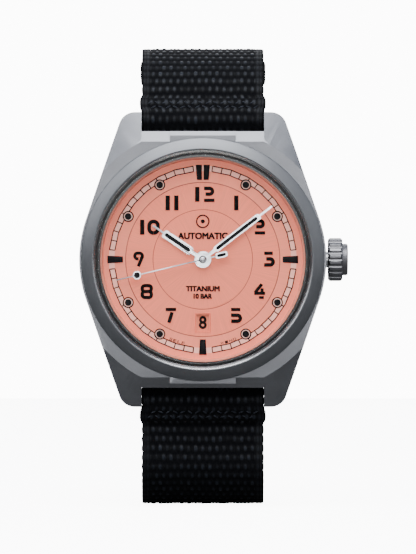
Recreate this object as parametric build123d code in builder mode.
"""A field wristwatch with an automatic movement on a woven nylon strap.

The dial faces -Y, 12 o'clock is +Z and the crown is at +X.  The origin is the centre of the case
back's outer face.  Heights (names ending in _h) are measured from that face towards the dial.
"""

import os
from math import atan2, cos, degrees, hypot, pi, radians, sin, sqrt, tan

from build123d import *

os.makedirs("parts", exist_ok=True)

# ---------------------------------------------------------------- driving dimensions, mm
case_r = 20.1
lug_to_lug = 48.1
strap_width = 20.0
flank_lean = 19.0
lug_corner_r = 2.6
case_bottom_h = 0.6
shoulder_h = 7.4
shoulder_r = 21.6
lug_slope = 33.0
tab_width = 10.7
tab_strip_edge = 0.7
shoulder_edge = 1.7
bar_edge = 1.15
bar_h = 2.5

bezel_r = 19.75
bezel_ridge_r = 17.93
bezel_hole_r = 17.3
bezel_edge_h = 9.0
bezel_ridge_h = 9.75
bezel_lip_h = 9.3
crystal_r = 17.0
crystal_t = 1.5
crystal_top_h = 10.3
crystal_chamfer = 0.35
rehaut_r = 16.25

dial_r = 16.7
dial_t = 0.45
dial_top_h = 6.95
inner_disc_r = 8.1
middle_ring_r = 12.54
step_depth = 0.05
date_window_w = 2.05
date_window_l = 2.65
date_window_z = -10.25
marker_t = 0.16

hour_hand_h = 7.25
minute_hand_h = 7.62
seconds_hand_h = 7.99
hand_t = 0.16
insert_t = 0.05
hour_angle = 304.1
minute_angle = 52.4
seconds_angle = 256.5

movement_r = 12.8
plate_low_h = 4.75
plate_top_h = 5.65
bridge_low_h = 2.35
bridge_t = 0.45
date_disc_h = 6.25
date_disc_t = 0.2
ring_wall = 1.6
back_flange = 2.2
back_t = 1.25

stem_h = 4.05
stem_r = 0.45
crown_r = 3.53
crown_stand_off = 0.3
crown_length = 2.35
crown_cap_r = 2.6
crown_cap_length = 0.9
crown_flutes = 20
crown_pull = 1.3
tube_r = 1.3

strap_t = 0.95
bar_r = 0.75
tip_r = 0.38
tip_length = 2.4
tip_reach = 1.15

buckle_length = 13.0
buckle_rim = 2.0
buckle_width = strap_width + 2 * buckle_rim
buckle_t = 1.9
tongue_width = 2.2

# ---------------------------------------------------------------- clearances, mm
pin_gap = 0.05
side_gap = 0.15
seat_gap = 0.02
mesh_gap = 0.05
strap_gap = 0.08
tiny_chamfer = 0.2
lug_clearance = 0.25

# ---------------------------------------------------------------- places that follow from them
bar_z = lug_to_lug / 2 - bar_edge
block_end = bar_z - bar_r - strap_gap - strap_t - lug_clearance
tab_strip = block_end - tab_strip_edge
shoulder_end = block_end - shoulder_edge
case_bore_r = movement_r + ring_wall
back_inner_r = case_bore_r - 0.2
back_r = case_bore_r + back_flange
back_screw_pcd = 2 * (case_bore_r + 0.8)
crown_start = case_r + crown_stand_off

# ---------------------------------------------------------------- strap route, mm and degrees
upper_lead = 1.7
upper_bend_r = 7.5
upper_bend = 42.0
upper_top_r = 14.6
upper_dip = 7.0
upper_run = 30.0
upper_back_r = 14.0
upper_tail = 1.0
lower_lead = 9.0
lower_bend_r = 6.0
lower_bend = 44.0
lower_bottom_r = 12.2
lower_back_r = 18.0
lower_up = 19.5
fold_end = 3.3
hole_pitch = 6.4
hole_count = 6

# ---------------------------------------------------------------- planes and small helpers
FACE = Plane(origin=(0, 0, 0), x_dir=(1, 0, 0), z_dir=(0, -1, 0))
SECTION = Plane(origin=(0, 0, 0), x_dir=(1, 0, 0), z_dir=(0, 0, -1))
DIAL_AXIS = Axis((0, 0, 0), (0, -1, 0))
CROWN_AXIS = Axis((0, -stem_h, 0), (1, 0, 0))
CROWN_END = Plane(origin=(0, -stem_h, 0), x_dir=(0, 0, 1), z_dir=(1, 0, 0))


def hand_plane(angle, height):
    """Plane with its Y axis along a hand that stands at a clockwise angle from 12 o'clock."""
    turn = radians(angle)
    return Plane(origin=(0, -height, 0), x_dir=(cos(turn), 0, -sin(turn)), z_dir=(0, -1, 0))


def save(builder, name):
    """Label a finished piece and write it."""
    builder.part.label = name
    export_step(builder.part, f"parts/{name}.step")


def ring(name, low_h, height, outer, inner):
    """A plain ring about the dial axis."""
    with BuildPart() as piece:
        with BuildSketch(FACE.offset(low_h)):
            Circle(outer)
            Circle(inner, mode=Mode.SUBTRACT)
        extrude(amount=height)
    save(piece, name)


def wheel(name, spot, disc, pinions, arbor, bore=0.0, teeth=0, windows=0):
    """A watch wheel: a disc, its pinions and its arbor, each as (low height, top height, radius)."""
    with BuildPart() as piece:
        with BuildSketch(FACE.offset(disc[0])):
            with Locations(spot):
                Circle(disc[2])
            if teeth:
                with Locations(spot):
                    with PolarLocations(disc[2], teeth):
                        Circle(pi_pitch(disc[2], teeth) / 4, mode=Mode.SUBTRACT)
            if windows:
                with Locations(spot):
                    with PolarLocations(disc[2] * 0.55, windows):
                        Circle(disc[2] * 0.2, mode=Mode.SUBTRACT)
        extrude(amount=disc[1] - disc[0])
        for low, top, radius in [*pinions, arbor]:
            with BuildSketch(FACE.offset(low)):
                with Locations(spot):
                    Circle(radius)
            extrude(amount=top - low)
        if bore:
            with BuildSketch(FACE.offset(disc[0] - 2)):
                with Locations(spot):
                    Circle(bore)
            extrude(amount=8, mode=Mode.SUBTRACT)
    save(piece, name)


def pi_pitch(radius, teeth):
    """Tooth pitch along a wheel's rim."""
    return 2 * pi * radius / teeth


def polar(radius, angle):
    """Plan position at a radius and an anticlockwise angle from 3 o'clock."""
    return (radius * cos(radians(angle)), radius * sin(radians(angle)))


# ---------------------------------------------------------------- mid-case with its lugs
tangent_x = case_r * cos(radians(flank_lean))
tangent_z = case_r * sin(radians(flank_lean))
tip_z = lug_to_lug / 2
tip_x = tangent_x - (tip_z - tangent_z) * tan(radians(flank_lean))
slope_drop = tan(radians(lug_slope))
half_gap = strap_width / 2
slope_run = shoulder_r + 8

with BuildPart() as mid_case:
    with BuildSketch(FACE.offset(case_bottom_h)) as plan:
        with BuildLine():
            Polyline(
                (tangent_x, -tangent_z),
                (tangent_x, tangent_z),
                (tip_x, tip_z),
                (-tip_x, tip_z),
                (-tangent_x, tangent_z),
                (-tangent_x, -tangent_z),
                (-tip_x, -tip_z),
                (tip_x, -tip_z),
                close=True,
            )
        make_face()
        fillet(plan.vertices().filter_by(lambda v: abs(abs(v.X) - tip_x) < 0.01), lug_corner_r)
        Circle(case_r)
        for side in (1, -1):
            with Locations((0, side * (block_end + 5))):
                Rectangle(strap_width, 10, mode=Mode.SUBTRACT)
    extrude(amount=shoulder_h - case_bottom_h)
    with BuildSketch(SECTION):
        with BuildLine():
            Polyline(
                (0, case_bottom_h),
                (slope_run, case_bottom_h),
                (slope_run, shoulder_h - (slope_run - shoulder_r) * slope_drop),
                (shoulder_r, shoulder_h),
                (0, shoulder_h),
                close=True,
            )
        make_face()
    revolve(axis=DIAL_AXIS, mode=Mode.INTERSECT)
    # the end blocks between the lugs slope down beside a middle tab
    for side in (1, -1):
        for start, low_x, high_x in (
            (shoulder_end, tab_width / 2, half_gap),
            (shoulder_end, -half_gap, -tab_width / 2),
            (tab_strip, -tab_width / 2, tab_width / 2),
        ):
            with BuildSketch(Plane.YZ.offset(low_x)):
                with BuildLine():
                    Polyline(
                        (-shoulder_h - 1, side * start),
                        (-shoulder_h, side * start),
                        (-shoulder_h + 3 * slope_drop, side * (start + 3)),
                        (-shoulder_h - 1, side * (start + 3)),
                        close=True,
                    )
                make_face()
            extrude(amount=high_x - low_x, mode=Mode.SUBTRACT)
    # bore for the movement and steps for the dial, the crystal seat and the case back
    with BuildSketch(FACE.offset(case_bottom_h - 1)):
        Circle(case_bore_r)
    extrude(amount=shoulder_h + 2, mode=Mode.SUBTRACT)
    with BuildSketch(FACE.offset(dial_top_h - dial_t)):
        Circle(dial_r + seat_gap)
    extrude(amount=4, mode=Mode.SUBTRACT)
    with BuildSketch(FACE.offset(case_bottom_h - 1)):
        Circle(back_r + pin_gap)
    extrude(amount=back_t + 1 - case_bottom_h, mode=Mode.SUBTRACT)
    # screw holes of the case back
    with BuildSketch(FACE.offset(back_t - 0.1)):
        with PolarLocations(back_screw_pcd / 2, 4, start_angle=45):
            Circle(0.5 + pin_gap)
    extrude(amount=1.9, mode=Mode.SUBTRACT)
    # crown tube hole and the spring bar holes
    with BuildSketch(CROWN_END.offset(10)):
        Circle(tube_r)
    extrude(amount=15, mode=Mode.SUBTRACT)
    for side in (1, -1):
        with BuildSketch(Plane.YZ.offset(-tip_x - 5)):
            with Locations((-bar_h, side * bar_z)):
                Circle(tip_r + pin_gap)
        extrude(amount=2 * tip_x + 10, mode=Mode.SUBTRACT)
save(mid_case, "mid_case")

# ---------------------------------------------------------------- bezel, crystal and seals
rehaut_top_h = crystal_top_h - crystal_t - seat_gap
with BuildPart() as bezel:
    with BuildSketch(SECTION):
        with BuildLine():
            Polyline(
                (bezel_hole_r, bezel_lip_h),
                (bezel_ridge_r, bezel_ridge_h),
                (bezel_r - tiny_chamfer, bezel_edge_h),
                (bezel_r, bezel_edge_h - tiny_chamfer),
                (bezel_r, shoulder_h),
                (dial_r + seat_gap, shoulder_h),
                (dial_r + seat_gap, rehaut_top_h),
                (bezel_hole_r, rehaut_top_h),
                close=True,
            )
        make_face()
    revolve(axis=DIAL_AXIS)
save(bezel, "bezel")

ring("crystal_gasket", rehaut_top_h, bezel_lip_h - 0.1 - rehaut_top_h, bezel_hole_r, crystal_r)

with BuildPart() as crystal:
    with BuildSketch(SECTION):
        with BuildLine():
            Polyline(
                (0, crystal_top_h - crystal_t),
                (crystal_r, crystal_top_h - crystal_t),
                (crystal_r, crystal_top_h - crystal_chamfer),
                (crystal_r - crystal_chamfer, crystal_top_h),
                (0, crystal_top_h),
                close=True,
            )
        make_face()
    revolve(axis=DIAL_AXIS)
save(crystal, "crystal")

with BuildPart() as rehaut:
    with BuildSketch(SECTION):
        with BuildLine():
            Polyline(
                (rehaut_r, dial_top_h),
                (dial_r, dial_top_h),
                (dial_r, rehaut_top_h),
                (rehaut_r + 0.15, rehaut_top_h),
                close=True,
            )
        make_face()
    revolve(axis=DIAL_AXIS)
save(rehaut, "rehaut_ring")

# ---------------------------------------------------------------- dial and its applied markers
dial_low_h = dial_top_h - dial_t
with BuildPart() as dial:
    with BuildSketch(FACE.offset(dial_low_h)):
        Circle(dial_r)
        Circle(1.25, mode=Mode.SUBTRACT)
        with Locations((0, date_window_z)):
            Rectangle(date_window_w, date_window_l, mode=Mode.SUBTRACT)
    extrude(amount=dial_t)
    with BuildSketch(FACE.offset(dial_top_h - step_depth)):
        Circle(middle_ring_r)
    extrude(amount=step_depth, mode=Mode.SUBTRACT)
    with BuildSketch(FACE.offset(dial_top_h - step_depth)):
        Circle(inner_disc_r)
        Circle(inner_disc_r - 0.12, mode=Mode.SUBTRACT)
    extrude(amount=-step_depth, mode=Mode.SUBTRACT)
save(dial, "dial")

with BuildPart() as hour_markers:
    # twin bars at 12 o'clock
    with BuildSketch(FACE.offset(dial_top_h)):
        for side in (1, -1):
            with BuildLine():
                Polyline(
                    (side * 0.15, 12.95),
                    (side * 0.95, 12.95),
                    (side * 1.15, 15.4),
                    (side * 0.15, 15.4),
                    close=True,
                )
            make_face()
    extrude(amount=marker_t)
    # wedges at 3, 6 and 9 o'clock
    for angle in (90, 180, 270):
        with BuildSketch(hand_plane(angle, dial_top_h)):
            with BuildLine():
                Polyline((-0.47, 13.0), (0.47, 13.0), (0.62, 15.5), (-0.62, 15.5), close=True)
            make_face()
        extrude(amount=marker_t)
    # round markers at the other hours
    with BuildSketch(FACE.offset(dial_top_h)):
        for hour in (1, 2, 4, 5, 7, 8, 10, 11):
            with Locations(polar(14.0, 90 - 30 * hour)):
                Circle(0.5)
    extrude(amount=marker_t)
save(hour_markers, "hour_markers")

# ---------------------------------------------------------------- hands, each along its plane's Y axis
hub_bore = {"hour": 0.9, "minute": 0.55, "seconds": 0.2}


def baton_hand(name, plane, hub_r, bore, neck, body, body_width, tip, insert):
    """A baton hand with a hub, a neck, a body with an inlay slot and a thin tip."""
    with BuildPart() as hand:
        with BuildSketch(plane):
            Circle(hub_r)
            with Locations((0, neck[1] / 2)):
                Rectangle(neck[0], neck[1])
            with Locations((0, (body[0] + body[1]) / 2)):
                RectangleRounded(body_width, body[1] - body[0], body_width * 0.3)
            with Locations((0, (body[1] + tip[1]) / 2 - 0.2)):
                Rectangle(tip[0], tip[1] - body[1] + 0.4)
            Circle(bore, mode=Mode.SUBTRACT)
        extrude(amount=hand_t)
        with BuildSketch(plane.offset(hand_t - insert_t)):
            with Locations((0, (insert[1] + insert[2]) / 2)):
                SlotOverall(insert[2] - insert[1], insert[0], rotation=90)
        extrude(amount=insert_t, mode=Mode.SUBTRACT)
    save(hand, name)
    with BuildPart() as inlay:
        with BuildSketch(plane.offset(hand_t - insert_t)):
            with Locations((0, (insert[1] + insert[2]) / 2)):
                SlotOverall(insert[2] - insert[1], insert[0], rotation=90)
        extrude(amount=insert_t)
    save(inlay, f"{name}_inlay")


baton_hand(
    "hour_hand",
    hand_plane(hour_angle, hour_hand_h),
    1.35,
    hub_bore["hour"],
    (0.62, 2.6),
    (2.15, 7.75),
    1.36,
    (0.3, 9.8),
    (0.63, 2.5, 7.4),
)
baton_hand(
    "minute_hand",
    hand_plane(minute_angle, minute_hand_h),
    1.15,
    hub_bore["minute"],
    (0.55, 3.0),
    (2.5, 11.7),
    1.04,
    (0.33, 14.2),
    (0.55, 2.8, 11.15),
)

seconds_plane = hand_plane(seconds_angle, seconds_hand_h)
with BuildPart() as seconds_hand:
    with BuildSketch(seconds_plane):
        Circle(0.57)
        with Locations((0, 6.0)):
            Rectangle(0.2, 16.8)
        with Locations((0, 11.0)):
            Circle(0.68)
        with Locations((0, -3.15)):
            RectangleRounded(0.93, 2.0, 0.3)
    extrude(amount=hand_t)
    with BuildSketch(seconds_plane):
        Circle(0.57)
    extrude(amount=0.34)
    with BuildSketch(seconds_plane.offset(hand_t - insert_t)):
        with Locations((0, 11.0)):
            Circle(0.5)
        with Locations((0, -3.15)):
            SlotOverall(1.5, 0.5, rotation=90)
    extrude(amount=insert_t, mode=Mode.SUBTRACT)
save(seconds_hand, "seconds_hand")

with BuildPart() as seconds_inlay:
    with BuildSketch(seconds_plane.offset(hand_t - insert_t)):
        with Locations((0, 11.0)):
            Circle(0.5)
        with Locations((0, -3.15)):
            SlotOverall(1.5, 0.5, rotation=90)
    extrude(amount=insert_t)
save(seconds_inlay, "seconds_hand_inlay")

# ---------------------------------------------------------------- going train
centre_pinion_r = 0.8
barrel_r = 4.8
# two equal steps make the sixty turns of the seconds hand to one of the minute hand
train_distance = 3.9
train_step = sqrt(60)
third_pinion_r = train_distance / (1 + train_step)
fourth_pinion_r = third_pinion_r
centre_disc_r = train_distance - third_pinion_r
third_disc_r = centre_disc_r
fourth_disc_r = 3.6
escape_pinion_r = 0.36
escape_disc_r = 2.0
balance_r = 4.0
arbor_r = 0.15
fork_reach = 2.75
balance_reach = 6.1
barrel_spot = polar(barrel_r + centre_pinion_r + mesh_gap, 135)
third_spot = polar(centre_disc_r + third_pinion_r + mesh_gap, 45)
escape_spot = polar(fourth_disc_r + escape_pinion_r + mesh_gap, -75)
escape_line = 200
fork_spot = (
    escape_spot[0] + fork_reach * cos(radians(escape_line)),
    escape_spot[1] + fork_reach * sin(radians(escape_line)),
)
balance_spot = (
    escape_spot[0] + balance_reach * cos(radians(escape_line)),
    escape_spot[1] + balance_reach * sin(radians(escape_line)),
)
bridge_top_h = bridge_low_h + bridge_t
run_gap = 0.05
pivot_low_h = bridge_top_h + run_gap
pivot_top_h = plate_low_h - run_gap

wheel(
    "barrel",
    barrel_spot,
    (3.85, 4.05, barrel_r),
    [(4.05, 4.6, barrel_r - 0.35)],
    (pivot_low_h, pivot_top_h, 0.7),
    teeth=80,
)
wheel(
    "centre_wheel",
    (0, 0),
    (3.55, 3.7, centre_disc_r),
    [(3.7, 4.6, centre_pinion_r)],
    (3.55, plate_top_h, 0.5),
    bore=hub_bore["seconds"] + pin_gap,
    teeth=64,
    windows=4,
)
wheel(
    "third_wheel",
    third_spot,
    (3.25, 3.4, third_disc_r),
    [(3.4, 3.8, third_pinion_r)],
    (pivot_low_h, pivot_top_h, arbor_r),
    teeth=60,
    windows=4,
)
wheel(
    "fourth_wheel",
    (0, 0),
    (2.95, 3.1, fourth_disc_r),
    [(3.1, 3.45, fourth_pinion_r)],
    (pivot_low_h, seconds_hand_h, hub_bore["seconds"]),
    teeth=64,
    windows=4,
)
wheel(
    "escape_wheel",
    escape_spot,
    (4.1, 4.25, escape_disc_r),
    [(2.95, 3.1, escape_pinion_r)],
    (pivot_low_h, pivot_top_h, arbor_r),
    teeth=20,
    windows=3,
)

with BuildPart() as balance_wheel:
    with BuildSketch(FACE.offset(3.25)):
        with Locations(balance_spot):
            Circle(balance_r)
            Circle(balance_r - 0.45, mode=Mode.SUBTRACT)
            Rectangle(2 * balance_r - 0.4, 0.45)
            Circle(0.6)
    extrude(amount=0.3)
    with BuildSketch(FACE.offset(pivot_low_h)):
        with Locations(balance_spot):
            Circle(arbor_r)
    extrude(amount=pivot_top_h - pivot_low_h)
    with BuildSketch(FACE.offset(3.75)):
        with Locations(balance_spot):
            Circle(0.7)
    extrude(amount=0.15)
save(balance_wheel, "balance_wheel")

with BuildPart() as pallet_fork:
    with BuildSketch(FACE.offset(4.1)):
        with Locations(Location((*fork_spot, 0), (0, 0, escape_line))):
            Rectangle(0.35, 1.4)
            Circle(0.4)
            with Locations((0.9, 0)):
                Rectangle(2.8, 0.35)
    extrude(amount=0.15)
    with BuildSketch(FACE.offset(3.4)):
        with Locations(fork_spot):
            Circle(arbor_r)
    extrude(amount=pivot_top_h - 3.4)
save(pallet_fork, "pallet_fork")

with BuildPart() as hairspring:
    spring_step = 0.16
    with BuildSketch(FACE.offset(2.95)):
        with BuildLine():
            for turn in range(12):
                radius = 0.45 + spring_step * turn
                shift = spring_step / 2 if turn % 2 else -spring_step / 2
                CenterArc(
                    (balance_spot[0] + shift, balance_spot[1]),
                    radius,
                    180 * (turn % 2),
                    180,
                )
        trace(line_width=0.06)
    extrude(amount=0.15)
save(hairspring, "hairspring")

# ---------------------------------------------------------------- motion work and date disc
# three to one from the cannon pinion, then four to one to the hour wheel
motion_distance = 3.2
cannon_r = motion_distance / 4
minute_wheel_r = motion_distance - cannon_r
minute_pinion_r = motion_distance / 5
hour_wheel_r = motion_distance - minute_pinion_r
motion_h = plate_top_h + 0.03
hour_wheel_h = 6.0
motion_spot = polar(motion_distance + mesh_gap, 60)
wheel(
    "hour_wheel",
    (0, 0),
    (hour_wheel_h, hour_wheel_h + 0.15, hour_wheel_r),
    [],
    (hour_wheel_h, hour_hand_h + hand_t, hub_bore["hour"]),
    bore=hub_bore["minute"] + pin_gap,
    teeth=48,
)
wheel(
    "cannon_pinion",
    (0, 0),
    (motion_h, motion_h + 0.15, cannon_r),
    [],
    (motion_h, minute_hand_h + hand_t, hub_bore["minute"]),
    bore=hub_bore["seconds"] + pin_gap,
)
wheel(
    "minute_wheel",
    motion_spot,
    (motion_h, motion_h + 0.15, minute_wheel_r),
    [(motion_h + 0.15, hour_wheel_h + 0.15, minute_pinion_r)],
    (motion_h, hour_wheel_h + 0.3, arbor_r),
    teeth=40,
)

with BuildPart() as date_disc:
    with BuildSketch(FACE.offset(date_disc_h)):
        Circle(12.2)
        Circle(8.4, mode=Mode.SUBTRACT)
        with PolarLocations(8.4, 31):
            Circle(0.3)
    extrude(amount=date_disc_t)
save(date_disc, "date_disc")

# ---------------------------------------------------------------- plate, bridges and rotor
slot_half = 1.35
with BuildPart() as main_plate:
    with BuildSketch(FACE.offset(plate_low_h)):
        Circle(movement_r)
        Circle(0.8, mode=Mode.SUBTRACT)
    extrude(amount=plate_top_h - plate_low_h)
    with BuildSketch(FACE.offset(plate_low_h)):
        with Locations((9.5, 0)):
            Rectangle(9, 2 * slot_half)
    extrude(amount=0.5, mode=Mode.SUBTRACT)
save(main_plate, "main_plate")

foot_ring_r = movement_r - 1.4
barrel_feet = [polar(foot_ring_r, angle) for angle in (62, 100, 168)]
train_feet = [polar(foot_ring_r, angle) for angle in (26, -30, -72)]
cock_foot = polar(10.6, 195)
foot_r = 0.9
half_depth = 15 * cos(radians(45))


def bridge(name, feet, outline):
    """A bridge: a flat plate cut from the movement's round outline, on feet that reach the plate."""
    with BuildPart() as piece:
        with BuildSketch(FACE.offset(bridge_low_h)):
            Circle(movement_r - 0.3)
            outline()
            with Locations((0, 0)):
                Circle(0.3, mode=Mode.SUBTRACT)
        extrude(amount=bridge_t)
        with BuildSketch(FACE.offset(bridge_top_h)):
            with Locations(*feet):
                Circle(foot_r)
        extrude(amount=plate_low_h - bridge_top_h)
        with BuildSketch(FACE.offset(bridge_low_h)):
            with Locations(*feet):
                Circle(0.6)
        extrude(amount=0.25, mode=Mode.SUBTRACT)
    save(piece, name)


def balance_room():
    """The opening that the other bridges leave round the balance and the foot of its cock."""
    with Locations(balance_spot):
        Circle(balance_r + 0.8, mode=Mode.SUBTRACT)
    with Locations(polar(10.6, 205)):
        Circle(4.6, mode=Mode.SUBTRACT)


def barrel_outline():
    """The upper left part of the round plate."""
    with Locations(Location((half_depth - 0.7, 0.7 - half_depth), 45)):
        Rectangle(60, 30, mode=Mode.SUBTRACT)
    balance_room()


def train_outline():
    """The lower right part."""
    with Locations(Location((-half_depth - 0.5, half_depth + 0.5), 45)):
        Rectangle(60, 30, mode=Mode.SUBTRACT)
    balance_room()


def cock_outline():
    """A narrow arm from its foot to the balance staff."""
    arm = (balance_spot[0] - cock_foot[0], balance_spot[1] - cock_foot[1])
    middle = ((balance_spot[0] + cock_foot[0]) / 2, (balance_spot[1] + cock_foot[1]) / 2)
    with Locations(Location(middle, degrees(atan2(arm[1], arm[0])))):
        SlotCenterToCenter(hypot(*arm), 2.6, mode=Mode.INTERSECT)


bridge("barrel_bridge", barrel_feet, barrel_outline)
bridge("train_bridge", train_feet, train_outline)
bridge("balance_cock", [cock_foot], cock_outline)

with BuildPart() as bridge_screws:
    with BuildSketch(FACE.offset(bridge_low_h)):
        with Locations(*barrel_feet, *train_feet, cock_foot):
            Circle(0.6 - seat_gap)
            Rectangle(1.4, 0.18, mode=Mode.SUBTRACT)
    extrude(amount=0.12)
    with BuildSketch(FACE.offset(bridge_low_h + 0.12)):
        with Locations(*barrel_feet, *train_feet, cock_foot):
            Circle(0.6 - seat_gap)
    extrude(amount=0.13)
save(bridge_screws, "bridge_screws")

rotor_low_h = 1.5
rotor_bearing_r = 1.5
rotor_r = movement_r - 0.5
ring("rotor_bearing", 1.8, bridge_low_h - 1.8, rotor_bearing_r, 0.4)
with BuildPart() as rotor:
    with BuildSketch(FACE.offset(rotor_low_h)):
        Circle(rotor_r)
        with Locations((0, 7)):
            Rectangle(30, 14, mode=Mode.SUBTRACT)
        Circle(3.0)
        for angle in (-45, -90, -135):
            with Locations(polar(6.4, angle)):
                Circle(1.7, mode=Mode.SUBTRACT)
    extrude(amount=0.2)
    with BuildSketch(FACE.offset(rotor_low_h + 0.2)):
        Circle(rotor_r)
        Circle(rotor_r - 2.1, mode=Mode.SUBTRACT)
        with Locations((0, 7)):
            Rectangle(30, 14, mode=Mode.SUBTRACT)
    extrude(amount=0.55)
save(rotor, "rotor")

# ---------------------------------------------------------------- movement ring, clamps, case back
ring_low_h = back_t + 0.75
clamp_spots = [polar(movement_r + 0.5, angle) for angle in (90, 210, 330)]
with BuildPart() as movement_ring:
    with BuildSketch(FACE.offset(ring_low_h)):
        Circle(case_bore_r - seat_gap)
        Circle(movement_r + seat_gap, mode=Mode.SUBTRACT)
        with Locations((movement_r + 0.8, 0)):
            Rectangle(4, 2 * (tube_r + 0.1), mode=Mode.SUBTRACT)
    extrude(amount=dial_low_h - ring_low_h)
save(movement_ring, "movement_ring")

with BuildPart() as movement_clamps:
    with BuildSketch(FACE.offset(ring_low_h - 0.2)):
        with Locations(*clamp_spots):
            Circle(0.8)
    extrude(amount=0.2)
save(movement_clamps, "movement_clamps")

with BuildPart() as clamp_screws:
    with BuildSketch(FACE.offset(ring_low_h - 0.4)):
        with Locations(*clamp_spots):
            Circle(0.55)
            Rectangle(1.3, 0.16, mode=Mode.SUBTRACT)
    extrude(amount=0.1)
    with BuildSketch(FACE.offset(ring_low_h - 0.3)):
        with Locations(*clamp_spots):
            Circle(0.55)
    extrude(amount=0.1)
save(clamp_screws, "clamp_screws")

back_groove_r = case_bore_r + 1.65
groove_half = 0.15
groove_depth = 0.4
back_line_r = 12.05
back_line_w = 0.3
back_line_depth = 0.15

with BuildPart() as case_back:
    with BuildSketch(SECTION):
        with BuildLine():
            Polyline(
                (0, 0),
                (back_r - 0.5, 0),
                (back_r, 0.5),
                (back_r, back_t),
                (back_inner_r, back_t),
                (back_inner_r, back_t + 0.3),
                (back_inner_r - 0.8, back_t + 0.3),
                (back_inner_r - 0.8, back_t),
                (0, back_t),
                close=True,
            )
        make_face()
    revolve(axis=DIAL_AXIS)
    with BuildSketch(FACE):
        with PolarLocations(back_screw_pcd / 2, 4, start_angle=45):
            Circle(0.85)
    extrude(amount=0.6, mode=Mode.SUBTRACT)
    with BuildSketch(FACE.offset(0.6)):
        with PolarLocations(back_screw_pcd / 2, 4, start_angle=45):
            Circle(0.5 + pin_gap)
    extrude(amount=1, mode=Mode.SUBTRACT)
    with BuildSketch(FACE.offset(back_t - groove_depth)):
        Circle(back_groove_r + groove_half)
        Circle(back_groove_r - groove_half, mode=Mode.SUBTRACT)
    extrude(amount=groove_depth, mode=Mode.SUBTRACT)
    # a shallow turned line inside the screws
    with BuildSketch(FACE):
        Circle(back_line_r + back_line_w / 2)
        Circle(back_line_r - back_line_w / 2, mode=Mode.SUBTRACT)
    extrude(amount=back_line_depth, mode=Mode.SUBTRACT)
save(case_back, "case_back")

ring("case_back_gasket", back_t - groove_depth, groove_depth, back_groove_r + groove_half, back_groove_r - groove_half)

with BuildPart() as case_back_screws:
    with BuildSketch(FACE.offset(0.1)):
        with PolarLocations(back_screw_pcd / 2, 4, start_angle=45):
            Circle(0.85 - seat_gap)
            Rectangle(2, 0.24, mode=Mode.SUBTRACT)
    extrude(amount=0.2)
    with BuildSketch(FACE.offset(0.3)):
        with PolarLocations(back_screw_pcd / 2, 4, start_angle=45):
            Circle(0.85 - seat_gap)
    extrude(amount=0.3)
    with BuildSketch(FACE.offset(0.6)):
        with PolarLocations(back_screw_pcd / 2, 4, start_angle=45):
            Circle(0.5)
    extrude(amount=back_t + 1)
save(case_back_screws, "case_back_screws")

# ---------------------------------------------------------------- crown and keyless work
square_side = 0.56
clutch_r = 0.95
tube_bore_r = 0.85
tube_length = crown_start + crown_pull - case_bore_r
crown_bore_r = tube_r + 0.25
with BuildPart() as crown_tube:
    with BuildSketch(CROWN_END.offset(case_bore_r)):
        Circle(tube_r)
        Circle(tube_bore_r, mode=Mode.SUBTRACT)
    extrude(amount=tube_length)
save(crown_tube, "crown_tube")

crown_top = crown_start + crown_length
with BuildPart() as crown:
    with BuildSketch(CROWN_END.offset(crown_start)):
        Circle(crown_r)
        with PolarLocations(crown_r + 0.08, crown_flutes):
            Circle(0.3, mode=Mode.SUBTRACT)
    extrude(amount=crown_length)
    with BuildSketch(FACE.offset(stem_h)):
        with BuildLine():
            Polyline(
                (crown_start - 1, 0),
                (crown_start - 1, crown_r - 1.3),
                (crown_start + 0.35, crown_r + 0.05),
                (crown_top - 0.35, crown_r + 0.05),
                (crown_top, crown_r - 0.3),
                (crown_top, 0),
                close=True,
            )
        make_face()
    revolve(axis=CROWN_AXIS, mode=Mode.INTERSECT)
    with BuildSketch(CROWN_END.offset(crown_top)):
        Circle(crown_cap_r)
    extrude(amount=crown_cap_length)
    chamfer(crown.faces().sort_by(Axis.X)[-1].edges(), tiny_chamfer)
    with BuildSketch(CROWN_END.offset(crown_start - 1)):
        Circle(crown_bore_r)
    extrude(amount=1 + crown_length - 0.4, mode=Mode.SUBTRACT)
save(crown, "crown")

with BuildPart() as crown_gasket:
    with BuildSketch(CROWN_END.offset(crown_start + 0.5)):
        Circle(crown_bore_r)
        Circle(tube_r + 0.05, mode=Mode.SUBTRACT)
    extrude(amount=0.6)
save(crown_gasket, "crown_gasket")

stem_inner = 5.0
with BuildPart() as winding_stem:
    with BuildSketch(CROWN_END.offset(9.2)):
        Circle(stem_r)
    extrude(amount=crown_top - 0.4 - 9.2)
    with BuildSketch(CROWN_END.offset(stem_inner)):
        Rectangle(square_side, square_side)
    extrude(amount=9.2 - stem_inner)
save(winding_stem, "winding_stem")


def keyless_pinion(name, start, length, bore):
    """A toothed sleeve on the stem; bore is a square side, or a radius for a round hole."""
    with BuildPart() as piece:
        with BuildSketch(CROWN_END.offset(start)):
            Circle(clutch_r)
            with PolarLocations(clutch_r, 12):
                Circle(0.11, mode=Mode.SUBTRACT)
            if bore[0] == "square":
                Rectangle(bore[1], bore[1], mode=Mode.SUBTRACT)
            else:
                Circle(bore[1], mode=Mode.SUBTRACT)
        extrude(amount=length)
    save(piece, name)


keyless_pinion("sliding_pinion", 6.2, 1.6, ("square", square_side + 2 * pin_gap))
keyless_pinion("winding_pinion", 7.85, 1.2, ("square", square_side + 2 * pin_gap))

with BuildPart() as setting_lever:
    with BuildSketch(FACE.offset(bridge_top_h + 0.05)):
        with Locations((10.6, 2.6)):
            SlotCenterToCenter(2.0, 1.2, rotation=100)
    extrude(amount=0.25)
    with BuildSketch(FACE.offset(bridge_top_h + 0.05)):
        with Locations((10.75, 1.8)):
            Circle(0.3)
    extrude(amount=0.6)
save(setting_lever, "setting_lever")

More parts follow.
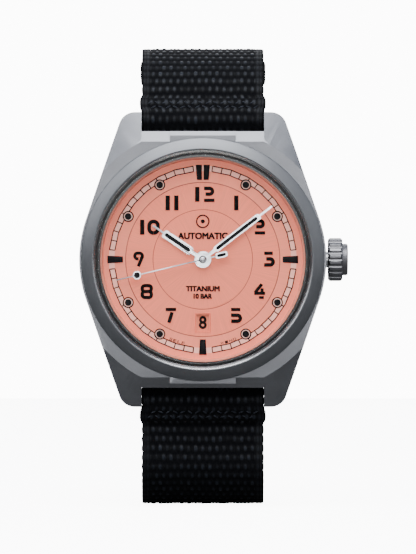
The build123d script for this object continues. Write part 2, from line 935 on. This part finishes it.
# ---------------------------------------------------------------- spring bars
bar_length = strap_width - 0.6
for place, side in (("upper", 1), ("lower", -1)):
    with BuildPart() as spring_bar:
        with BuildSketch(Plane.YZ.offset(-bar_length / 2)):
            with Locations((-bar_h, side * bar_z)):
                Circle(bar_r)
        extrude(amount=bar_length)
        with BuildSketch(Plane.YZ.offset(-bar_length / 2)):
            with Locations((-bar_h, side * bar_z)):
                Circle(tip_r + pin_gap)
        extrude(amount=4, mode=Mode.SUBTRACT)
        with BuildSketch(Plane.YZ.offset(bar_length / 2 - 4)):
            with Locations((-bar_h, side * bar_z)):
                Circle(tip_r + pin_gap)
        extrude(amount=4, mode=Mode.SUBTRACT)
    save(spring_bar, f"spring_bar_{place}")
    for hand_side, sign in (("left", -1), ("right", 1)):
        inner = sign * (half_gap + tip_reach - tip_length)
        with BuildPart() as tip:
            with BuildSketch(Plane.YZ.offset(inner)):
                with Locations((-bar_h, side * bar_z)):
                    Circle(tip_r)
            extrude(amount=sign * tip_length)
        save(tip, f"spring_bar_tip_{place}_{hand_side}")

# ---------------------------------------------------------------- strap halves
loop_r = bar_r + strap_gap + strap_t
layer_y = -bar_h + bar_r + strap_gap + strap_t / 2
strap_cut = strap_width - 2 * side_gap


def strap_path(side, lead, bend_r, bend, corner_r, dip, run, back_r, end):
    """Centre line of a strap half in (y, z): up from its spring bar, round the wrist and down the back."""
    with BuildLine() as path:
        start = Line((layer_y, side * bar_z), (layer_y, side * (bar_z + lead)))
        first = JernArc(start @ 1, start % 1, bend_r, -side * bend)
        second = JernArc(first @ 1, first % 1, corner_r, -side * (90 - bend + dip))
        flat = Line(second @ 1, second @ 1 + run * (second % 1))
        third = JernArc(flat @ 1, flat % 1, back_r, -side * (90 - dip))
        Line(third @ 1, third @ 1 + end * (third % 1))
    return path.wires()[0]


def add_lug_loop(side):
    """The end that is wrapped round the spring bar, folded back on the outside and sewn down."""
    front_y = -bar_h - loop_r
    face_y = layer_y - strap_t / 2
    with Locations((-bar_h, side * bar_z)):
        Circle(loop_r)
    with BuildLine() as wedge:
        Polyline(
            (front_y, side * bar_z),
            (layer_y, side * bar_z),
            (layer_y, side * (bar_z + upper_lead)),
            (face_y, side * (bar_z + fold_end)),
            (face_y - strap_t, side * (bar_z + fold_end)),
            close=True,
        )
    make_face(wedge.edges())
    with Locations((-bar_h, side * bar_z)):
        Circle(bar_r + strap_gap, mode=Mode.SUBTRACT)


upper_path = strap_path(
    1, upper_lead, upper_bend_r, upper_bend, upper_top_r, upper_dip, upper_run, upper_back_r, upper_tail
)
buckle_y = (upper_path @ 1).X
buckle_z = (upper_path @ 1).Y
pin_r = 0.7
buckle_loop_r = pin_r + strap_gap + strap_t
# the buckle bar stands outside the strap's layer, so that the folded end wraps round it
buckle_axis_y = buckle_y + pin_r + strap_gap + strap_t / 2

with BuildPart() as strap_upper:
    with BuildSketch(Plane.YZ):
        with BuildLine():
            add(upper_path)
        trace(line_width=strap_t)
        add_lug_loop(1)
        with Locations((buckle_axis_y, buckle_z)):
            Circle(buckle_loop_r)
        with BuildLine():
            Polyline(
                (buckle_y, buckle_z),
                (buckle_axis_y + buckle_loop_r, buckle_z),
                (buckle_y + strap_t, buckle_z + 5.0),
                (buckle_y - 0.9, buckle_z + 5.0),
                close=True,
            )
        make_face()
        with Locations((buckle_axis_y, buckle_z)):
            Circle(pin_r + strap_gap, mode=Mode.SUBTRACT)
    extrude(amount=strap_cut / 2, both=True)
    # slot for the tongue
    with BuildSketch(Plane.XZ.offset(-buckle_y + 3)):
        with Locations((0, buckle_z)):
            Rectangle(tongue_width + 0.8, 2 * buckle_loop_r + 2.4)
    extrude(amount=-8, mode=Mode.SUBTRACT)
save(strap_upper, "strap_upper")

lower_run = (buckle_y - lower_back_r) - (
    layer_y + lower_bend_r * (1 - cos(radians(lower_bend))) + lower_bottom_r * cos(radians(lower_bend))
)
lower_path = strap_path(
    -1, lower_lead, lower_bend_r, lower_bend, lower_bottom_r, 0, lower_run, lower_back_r, lower_up
)
with BuildPart() as strap_lower:
    with BuildSketch(Plane.YZ):
        with BuildLine():
            add(lower_path)
        trace(line_width=strap_t)
        add_lug_loop(-1)
    extrude(amount=strap_cut / 2, both=True)
    # pointed free end
    tail_z = (lower_path @ 1).Y
    for side in (1, -1):
        with BuildSketch(Plane.XZ.offset(-buckle_y - 3)):
            with BuildLine():
                Polyline(
                    (side * 3, tail_z + 0.01),
                    (side * (strap_width / 2), tail_z - 6),
                    (side * (strap_width / 2 + 2), tail_z - 6),
                    (side * (strap_width / 2 + 2), tail_z + 1),
                    (side * 3, tail_z + 1),
                    close=True,
                )
            make_face()
        extrude(amount=6, mode=Mode.SUBTRACT)
    # tongue holes along the tail
    for number in range(hole_count):
        distance = lower_path.length - 10 - hole_pitch * number
        spot = lower_path.position_at(distance / lower_path.length)
        heading = lower_path.tangent_at(distance / lower_path.length)
        hole_plane = Plane(
            origin=(0, spot.X, spot.Y), x_dir=(1, 0, 0), z_dir=(0, -heading.Y, heading.X)
        )
        with BuildSketch(hole_plane):
            SlotOverall(2.4, 1.5, rotation=90)
        extrude(amount=2, both=True, mode=Mode.SUBTRACT)
save(strap_lower, "strap_lower")

# ---------------------------------------------------------------- buckle and keepers
frame_low_z = buckle_z - buckle_length
with BuildPart() as buckle_frame:
    with BuildSketch(Plane.XZ.offset(-buckle_axis_y - buckle_t / 2)):
        with Locations((0, buckle_z - buckle_length / 2 + buckle_rim / 2)):
            RectangleRounded(buckle_width, buckle_length + buckle_rim, 1.2)
        with Locations((0, buckle_z - buckle_length / 2 + buckle_rim + 1)):
            Rectangle(buckle_width - 2 * 1.75, buckle_length + buckle_rim - 1, mode=Mode.SUBTRACT)
    extrude(amount=buckle_t)
    with BuildSketch(Plane.YZ.offset(-buckle_width / 2 - 1)):
        with Locations((buckle_axis_y, buckle_z)):
            Circle(pin_r)
    extrude(amount=buckle_width + 2, mode=Mode.SUBTRACT)
save(buckle_frame, "buckle_frame")

with BuildPart() as buckle_bar:
    with BuildSketch(Plane.YZ.offset(-buckle_width / 2 + 0.3)):
        with Locations((buckle_axis_y, buckle_z)):
            Circle(pin_r)
    extrude(amount=buckle_width - 0.6)
save(buckle_bar, "buckle_bar")

tongue_r = pin_r + 0.75
tongue_tip_z = frame_low_z + 0.5
tongue_y = buckle_axis_y + buckle_t / 2
with BuildPart() as tongue:
    with BuildSketch(Plane.YZ):
        with Locations((buckle_axis_y, buckle_z)):
            Circle(tongue_r)
        with BuildLine():
            Polyline(
                (buckle_axis_y, buckle_z + tongue_r),
                (buckle_axis_y + tongue_r, buckle_z),
                (tongue_y + 1.15, frame_low_z + 3),
                (tongue_y + 0.85, tongue_tip_z),
                (tongue_y + 0.05, tongue_tip_z),
                (tongue_y + 0.05, frame_low_z + 3),
                (buckle_axis_y, buckle_z - tongue_r),
                close=True,
            )
        make_face()
        with Locations((buckle_axis_y, buckle_z)):
            Circle(pin_r + pin_gap, mode=Mode.SUBTRACT)
    extrude(amount=tongue_width / 2, both=True)
save(tongue, "buckle_tongue")

keeper_t = 0.5
keeper_width = 5.0
keeper_rise = 1.9
keeper_slack = 0.45


def keeper(name, spot, heading):
    """A loop that goes round the strap at a point of its route, with room for the strap's tail outside."""
    across = Plane(origin=(0, spot.X, spot.Y), x_dir=(-1, 0, 0), z_dir=(0, heading.X, heading.Y))
    inside_w = strap_width + 0.1
    inner_face = strap_t / 2 + keeper_slack
    with BuildPart() as piece:
        with BuildSketch(across.offset(-keeper_width / 2)):
            with Locations((0, (keeper_rise - inner_face) / 2)):
                RectangleRounded(inside_w + 2 * keeper_t, keeper_rise + inner_face + 2 * keeper_t, 0.9)
                Rectangle(inside_w, keeper_rise + inner_face, mode=Mode.SUBTRACT)
        extrude(amount=keeper_width)
    save(piece, name)


free_distance = upper_path.length - upper_tail - upper_back_r * radians(90 - upper_dip) - keeper_width
free_spot = upper_path.position_at(free_distance / upper_path.length)
free_heading = upper_path.tangent_at(free_distance / upper_path.length)
keeper("keeper_free", free_spot, free_heading)

fixed_distance = upper_path.length - 7.8
fixed_spot = upper_path.position_at(fixed_distance / upper_path.length)
fixed_heading = upper_path.tangent_at(fixed_distance / upper_path.length)
keeper("keeper_fixed", fixed_spot, fixed_heading)

print("buckle bar (y, z)", round(buckle_axis_y, 3), round(buckle_z, 3))
print("strap half lengths", round(upper_path.length, 1), round(lower_path.length, 1))
